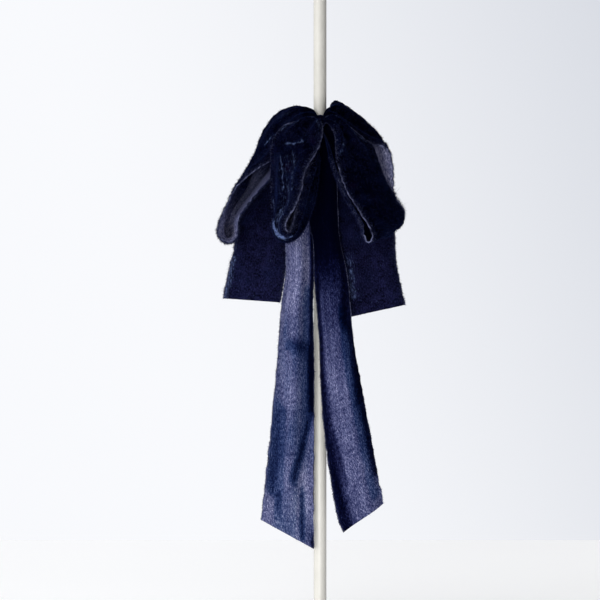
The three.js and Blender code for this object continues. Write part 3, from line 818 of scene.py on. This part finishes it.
def mix(tree, factor, first, second):
    made = node(tree, "ShaderNodeMix", {"Factor": factor}, {"data_type": "RGBA"})
    for socket, value in ((made.inputs[FIRST_COLOUR], first), (made.inputs[SECOND_COLOUR], second)):
        if isinstance(value, tuple):
            socket.default_value = (*value, 1)
        else:
            tree.links.new(value, socket)
    return made.outputs[MIXED_COLOUR]


def ramp(tree, value, low, high):
    """0 below low and 1 above high, smooth between."""
    made = node(tree, "ShaderNodeMapRange", {"Value": value}, {"interpolation_type": "SMOOTHSTEP"},
                From_Min=low, From_Max=high)
    return made.outputs["Result"]


def cloth_place(tree, stretch, slant=0.0):
    """Where a point lies on the flat ribbon, in metres, across and along it.

    A pattern made there is drawn out lengthwise by the stretch, and leans over by the slant.
    """
    place = node(tree, "ShaderNodeUVMap", settings={"uv_map": "cloth"}).outputs["UV"]
    mapped = node(tree, "ShaderNodeMapping", {"Vector": place}, {"vector_type": "TEXTURE"},
                  Scale=(1, stretch, 1), Rotation=(0, 0, -slant))
    return mapped.outputs["Vector"]


def object_place(tree):
    return node(tree, "ShaderNodeTexCoord").outputs["Object"]


def noise_at(tree, place, scale, detail=2.0, roughness=0.5):
    """Noise of a size given by how many fit in a metre."""
    made = node(tree, "ShaderNodeTexNoise", {"Vector": place}, Scale=scale, Detail=detail,
                Roughness=roughness)
    return made.outputs["Fac"]


def bump(tree, shader, layers):
    """Stacks bumps: each layer is a height and its depth in metres."""
    normal = None
    for height, depth in layers:
        links = {"Height": height}
        if normal is not None:
            links["Normal"] = normal
        normal = node(tree, "ShaderNodeBump", links, Distance=depth).outputs["Normal"]
    tree.links.new(normal, shader.inputs["Normal"])


NAVY_BLACK = (0.00020, 0.00025, 0.0026)
NAVY = (0.0010, 0.0016, 0.0100)
NAVY_LIT = (0.0030, 0.0060, 0.0260)
PLUM = (0.0022, 0.0012, 0.0080)
BLOOM = (0.0110, 0.0115, 0.0440)
# The blue of laid-over pile and of the painted sheen highlights.
SHEEN_BLUE = (0.095, 0.135, 0.290)
LAVENDER_DYE = [(0.0, (0.0004, 0.0006, 0.005)), (0.25, (0.0032, 0.0044, 0.024)),
                (0.5, (0.024, 0.029, 0.084)), (0.7, (0.085, 0.092, 0.185)),
                (0.85, (0.188, 0.192, 0.32)), (1.0, (0.42, 0.425, 0.62))]
BLUE_DYE = [(0.0, (0.0003, 0.0008, 0.006)), (0.25, (0.0022, 0.0055, 0.029)),
            (0.5, (0.015, 0.026, 0.082)), (0.7, (0.058, 0.078, 0.172)),
            (0.85, (0.14, 0.165, 0.28)), (1.0, (0.33, 0.355, 0.46))]
# The grey lavender of the painted sheen on the woven back.
SHEEN_GROUND = (0.085, 0.090, 0.170)
PALE_THREAD = (0.165, 0.180, 0.320)
DARK_THREAD = (0.004, 0.006, 0.030)
DYE_SHIFT = -0.59                 # sets the woven back's middle shade
# How much darker the floor's painted shade is on the right.
STAGE_SHADE = 0.88
STAGE_GLOW = 0.34
POLE_PAINT = [(0.54, 0.528, 0.485), (0.58, 0.566, 0.523)]


def pile_material():
    """Silk pile: almost black from the front, blue where it turns away, and blue along strokes of
    laid-over pile that also carry painted sheen highlights.
    """
    material, tree, shader = new_material("velvet_pile")
    place = object_place(tree)
    clouds = noise_at(tree, place, 34, 3)
    stains = noise_at(tree, place, 60)
    mottle = noise_at(tree, place, 110, 3, 0.6)
    tufts = noise_at(tree, place, 700, 2, 0.7)
    streaks = noise_at(tree, cloth_place(tree, 6), 300, 3, 0.6)
    fibres = noise_at(tree, cloth_place(tree, 4), 700, 2, 0.6)
    speckle = noise_at(tree, cloth_place(tree, 1.6), 640, 2, 0.6)
    colour = mix(tree, ramp(tree, mottle, 0.42, 0.72), NAVY_BLACK, NAVY)
    colour = mix(tree, ramp(tree, stains, 0.55, 0.8), colour, PLUM)
    lit = maths(tree, "MULTIPLY", ramp(tree, clouds, 0.48, 0.72), ramp(tree, tufts, 0.35, 0.7))
    colour = mix(tree, lit, colour, NAVY_LIT)
    bloom = weighted(tree, [(ramp(tree, speckle, 0.38, 0.66), 1.1), (ramp(tree, mottle, 0.35, 0.75), 0.5)])
    colour = mix(tree, maths(tree, "MULTIPLY", attribute(tree, "bloom"), bloom), colour, BLOOM)
    # Brushed strokes: laid pile and painted blue sheen highlights.
    laid_pile_and_sheen = weighted(tree, [(attribute(tree, "brushed_and_sheen"), 0.6), (fibres, 1.0)])
    colour = mix(tree, ramp(tree, laid_pile_and_sheen, 0.62, 1.06), colour, SHEEN_BLUE)
    rim = maths(tree, "MULTIPLY", attribute(tree, "rim"), ramp(tree, tufts, 0.3, 0.7))
    tree.links.new(mix(tree, rim, colour, PALE_THREAD), shader.inputs["Base Color"])
    set_inputs(shader, Roughness=0.9, Specular_IOR_Level=0.0, Sheen_Weight=0.45, Sheen_Roughness=0.30,
               Sheen_Tint=(0.03, 0.06, 0.24, 1))
    bump(tree, shader, [(mottle, 0.0010), (streaks, 0.0005), (tufts, 0.0006)])
    return material


def dyed(tree, shade, stops):
    """The colour for a shade from 0 to 1, along a row of dye colours."""
    ramp_node = node(tree, "ShaderNodeValToRGB", {"Fac": shade})
    elements = ramp_node.color_ramp.elements
    elements[0].position, elements[1].position = stops[0][0], stops[-1][0]
    for place, _ in stops[1:-1]:
        elements.new(place)
    for element, (_, colour) in zip(elements, stops):
        element.color = (*colour, 1)
    return ramp_node.outputs["Color"]


def ground_material():
    """The velvet's back: a pebbly lavender weave, streaked with blue and with dark dye, and with painted
    shade and painted sheen in places.
    """
    material, tree, shader = new_material("velvet_ground")
    strokes = noise_at(tree, cloth_place(tree, 2.6, math.radians(17)), 620, 1, 0.6)
    pebbles = noise_at(tree, cloth_place(tree, 1.2), 900, 2, 0.6)
    streaks = noise_at(tree, cloth_place(tree, 9), 130, 4, 0.65)
    blotches = noise_at(tree, cloth_place(tree, 1.6), 42, 3, 0.55)
    patches = noise_at(tree, cloth_place(tree, 2.5), 28, 3, 0.6)
    weave = weighted(tree, [(strokes, 0.5), (pebbles, 0.5)])
    blue = weighted(tree, [(attribute(tree, "blue"), 1.0), (patches, 1.1), (streaks, 0.5)])
    blue = ramp(tree, blue, 0.85, 1.35)
    # Navy darkens the back: dye, and painted shade inside the front loops, under the knot and along curled
    # edges; below zero it is painted light.
    shade = weighted(tree, [(attribute(tree, "navy_and_shade"), -0.80), (streaks, 0.40), (blotches, 0.35),
                            (weave, 1.75), (blue, -0.13)])
    shade = maths(tree, "ADD", shade, DYE_SHIFT)
    colour = mix(tree, blue, dyed(tree, shade, LAVENDER_DYE), dyed(tree, shade, BLUE_DYE))
    # Painted sheen: smooth pale grey where light falls inside a loop.
    colour = mix(tree, attribute(tree, "bare_and_sheen"), colour, SHEEN_GROUND)
    rim = maths(tree, "MULTIPLY", attribute(tree, "rim"), ramp(tree, pebbles, 0.4, 0.6))
    tree.links.new(mix(tree, rim, colour, PALE_THREAD), shader.inputs["Base Color"])
    set_inputs(shader, Roughness=0.8, Specular_IOR_Level=0.0, Sheen_Weight=0.05, Sheen_Roughness=0.4,
               Sheen_Tint=(0.2, 0.22, 0.5, 1))
    bump(tree, shader, [(weave, 0.0005)])
    return material


def thread_material(name, grain_scale, roughness, grain_depth=None):
    """Raw edges: pale where the woven back's threads show uncovered, dark where the pile covers them."""
    material, tree, shader = new_material(name)
    place = object_place(tree)
    grain = noise_at(tree, place, grain_scale, 2, 0.6)
    uneven = noise_at(tree, place, 160, 2, 0.6)
    bare_and_sheen = weighted(tree, [(ramp(tree, grain, 0.3, 0.7), 0.7), (ramp(tree, uneven, 0.40, 0.60), 1.2)])
    pale = maths(tree, "MULTIPLY", attribute(tree, "rim"), bare_and_sheen, clamp=True)
    tree.links.new(mix(tree, pale, DARK_THREAD, PALE_THREAD), shader.inputs["Base Color"])
    set_inputs(shader, Roughness=roughness, Specular_IOR_Level=0.0)
    if grain_depth:
        bump(tree, shader, [(grain, grain_depth)])
    return material


def rounded_normal(tree, place):
    """The normal of a true upright rod, but the mesh's own on the flat ends."""
    sideways = node(tree, "ShaderNodeVectorMath", {0: place}, {"operation": "MULTIPLY"})
    sideways.inputs[1].default_value = (1, 1, 0)
    rounded = node(tree, "ShaderNodeVectorMath", {0: sideways.outputs[0]}, {"operation": "NORMALIZE"})
    flat = node(tree, "ShaderNodeNewGeometry").outputs["True Normal"]
    upright = node(tree, "ShaderNodeSeparateXYZ", {0: flat}).outputs["Z"]
    on_end = maths(tree, "GREATER_THAN", maths(tree, "ABSOLUTE", upright), 0.5)
    links = {"Factor": on_end, FIRST_VECTOR: rounded.outputs[0], SECOND_VECTOR: flat}
    return node(tree, "ShaderNodeMix", links, {"data_type": "VECTOR"}).outputs[MIXED_VECTOR]


def pole_material():
    """Warm white satin paint with a slight orange-peel."""
    material, tree, shader = new_material("painted_pole")
    place = object_place(tree)
    peel = noise_at(tree, place, 700)
    clouds = noise_at(tree, place, 25, 3)
    colour = mix(tree, ramp(tree, clouds, 0.3, 0.7), *POLE_PAINT)
    tree.links.new(colour, shader.inputs["Base Color"])
    tree.links.new(ramp(tree, clouds, -1.2, 3.0), shader.inputs["Roughness"])
    set_inputs(shader, Coat_Weight=0.1, Coat_Roughness=0.3)
    peeled = node(tree, "ShaderNodeBump", {"Height": peel, "Normal": rounded_normal(tree, place)},
                  Distance=0.00004)
    tree.links.new(peeled.outputs[0], shader.inputs["Normal"])
    return material


def stage_material(name, colour):
    """Matt paint with painted shade that darkens it towards the right."""
    material, tree, shader = new_material(name)
    place = object_place(tree)
    sideways = node(tree, "ShaderNodeSeparateXYZ", {0: place}).outputs["X"]
    darker = tuple(channel * STAGE_SHADE for channel in colour)
    clouds = maths(tree, "MULTIPLY", noise_at(tree, place, 3), 0.1)
    shade = maths(tree, "ADD", ramp(tree, sideways, -0.4, 0.5), clouds)
    tree.links.new(mix(tree, shade, colour, darker), shader.inputs["Base Color"])
    set_inputs(shader, Roughness=0.9, Specular_IOR_Level=0.1, Emission_Color=(1, 1, 1, 1),
               Emission_Strength=STAGE_GLOW)
    return material


# ---- The ribbons ----

def ribbon(strips, seed):
    """One ribbon's cloth, and the surfaces whose edges fray."""
    cloth = Cloth()
    surfaces = []
    for number, (name, strip) in enumerate(strips.items()):
        surface = strip_surface(name, strip, seed + 10 * number)
        surfaces.append((surface, strip.get("tail", False)))
        cloth.add_strip(surface)
    return cloth, surfaces


TUFTS_PER_RIBBON = 36000


def frayed(name, surfaces, seed):
    """The loose threads and the standing tufts of one ribbon, each a piece of its own."""
    generator = random.Random(seed)
    threads = []
    for surface, is_tail in surfaces:
        threads.extend(loose_threads(surface, generator, is_tail))
    tufts = standing_tufts([surface for surface, _ in surfaces], generator, TUFTS_PER_RIBBON)
    return [hair_piece(name + "_fray", threads, THREAD["radius"]),
            hair_piece(name + "_tufts", tufts, TUFT["radius"])]


CLOTH_MATERIALS = [pile_material(), ground_material(), thread_material("raw_edge", 800, 0.9, 0.0004)]
THREADS = thread_material("loose_threads", 500, 0.8)

back_cloth, back_surfaces = ribbon(BACK_STRIPS, 100)
add_bundle(back_cloth, WAIST, 3)
back_ribbon = back_cloth.finish("back_ribbon_cloth", CLOTH_MATERIALS)
back_hair = frayed("back_ribbon", back_surfaces, 11)

front_cloth, front_surfaces = ribbon(FRONT_STRIPS, 200)
add_bundle(front_cloth, KNOT, 4)
add_band(front_cloth)
front_ribbon = front_cloth.finish("front_ribbon_cloth", CLOTH_MATERIALS)
front_hair = frayed("front_ribbon", front_surfaces, 12)

for piece in (back_ribbon, *back_hair, front_ribbon, *front_hair):
    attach(piece, "root")
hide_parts("back_ribbon")
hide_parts("front_ribbon")

# ---- The pole ----

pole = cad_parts["pole"]
pole.data.materials.clear()
pole.data.materials.append(pole_material())

# ---- Stage, light and camera ----

FLOOR_BACK = 1.33                 # where the floor ends behind the pole
FLOOR_REACH = 7.0
FLOOR_PAINT = (0.93, 0.935, 0.945)
BACKDROP_LIT, BACKDROP_SHADED = (0.945, 0.955, 0.985), (0.58, 0.61, 0.68)
ROOM_LEFT, ROOM_RIGHT = (0.65, 0.65, 0.66), (0.02, 0.022, 0.03)
CAMERA_DISTANCE = 4.0
CAMERA_SIDE = -0.025
CAMERA_HEIGHT = 0.400
PICTURE_WIDTH = 0.750             # what the picture spans at the pole
SENSOR = 36

floor_mesh = bpy.data.meshes.new("floor")
floor_mesh.from_pydata([(-FLOOR_REACH, -FLOOR_REACH, 0), (FLOOR_REACH, -FLOOR_REACH, 0),
                        (FLOOR_REACH, FLOOR_BACK, 0), (-FLOOR_REACH, FLOOR_BACK, 0)], [], [(0, 1, 2, 3)])
floor_mesh.materials.append(stage_material("floor_paint", FLOOR_PAINT))
floor = linked("floor", floor_mesh)


def add_light(name, kind, travels, power, **settings):
    """A light that shines the way it travels."""
    data = bpy.data.lights.new(name, kind)
    data.energy = power
    for setting, value in settings.items():
        setattr(data, setting, value)
    made = linked(name, data)
    made.rotation_euler = Vector(travels).to_track_quat("-Z", "Y").to_euler()
    return made


add_light("window_left", "SUN", (0.75, 0.66, -0.20), 1.15, angle=math.radians(40), color=(1.0, 0.99, 0.97))
add_light("front", "SUN", (0.22, 1.0, -0.12), 0.5, angle=math.radians(30), color=(1.0, 1.0, 0.99))
add_light("top_left", "SUN", (0.50, 0.35, -1.0), 0.9, angle=math.radians(60), color=(0.97, 0.985, 1.0))
bounce = add_light("floor_bounce", "AREA", (0.12, 0.7, 0.17), 3.0, size=0.3)
bounce.location = (-0.12, -0.7, 0.05)
bounce.visible_camera = False

# The backdrop is brightest at the lower left. The room that lights the cloth is dark on the right.
world = bpy.data.worlds.new("studio")
world.use_nodes = True
bpy.context.scene.world = world
tree = world.node_tree
direction = node(tree, "ShaderNodeTexCoord").outputs["Generated"]
sides = node(tree, "ShaderNodeSeparateXYZ", {0: direction}).outputs
tilted = weighted(tree, [(sides["X"], 1.0), (sides["Z"], 0.35)])
shown = mix(tree, ramp(tree, tilted, -0.06, 0.24), BACKDROP_LIT, BACKDROP_SHADED)
room = mix(tree, ramp(tree, sides["X"], -1.0, 1.0), ROOM_LEFT, ROOM_RIGHT)
seen = node(tree, "ShaderNodeLightPath").outputs["Is Camera Ray"]
tree.links.new(mix(tree, seen, room, shown), tree.nodes["Background"].inputs["Color"])
tree.nodes["Background"].inputs["Strength"].default_value = 1.0

camera_data = bpy.data.cameras.new("camera")
camera_data.sensor_width = SENSOR
camera_data.lens = SENSOR * CAMERA_DISTANCE / PICTURE_WIDTH
camera_data.clip_end = 50
camera = linked("camera", camera_data)
camera.location = (CAMERA_SIDE, -CAMERA_DISTANCE, CAMERA_HEIGHT)
camera.rotation_euler = (math.radians(90), 0, 0)
bpy.context.scene.camera = camera
bpy.context.scene.view_settings.view_transform = "Standard"
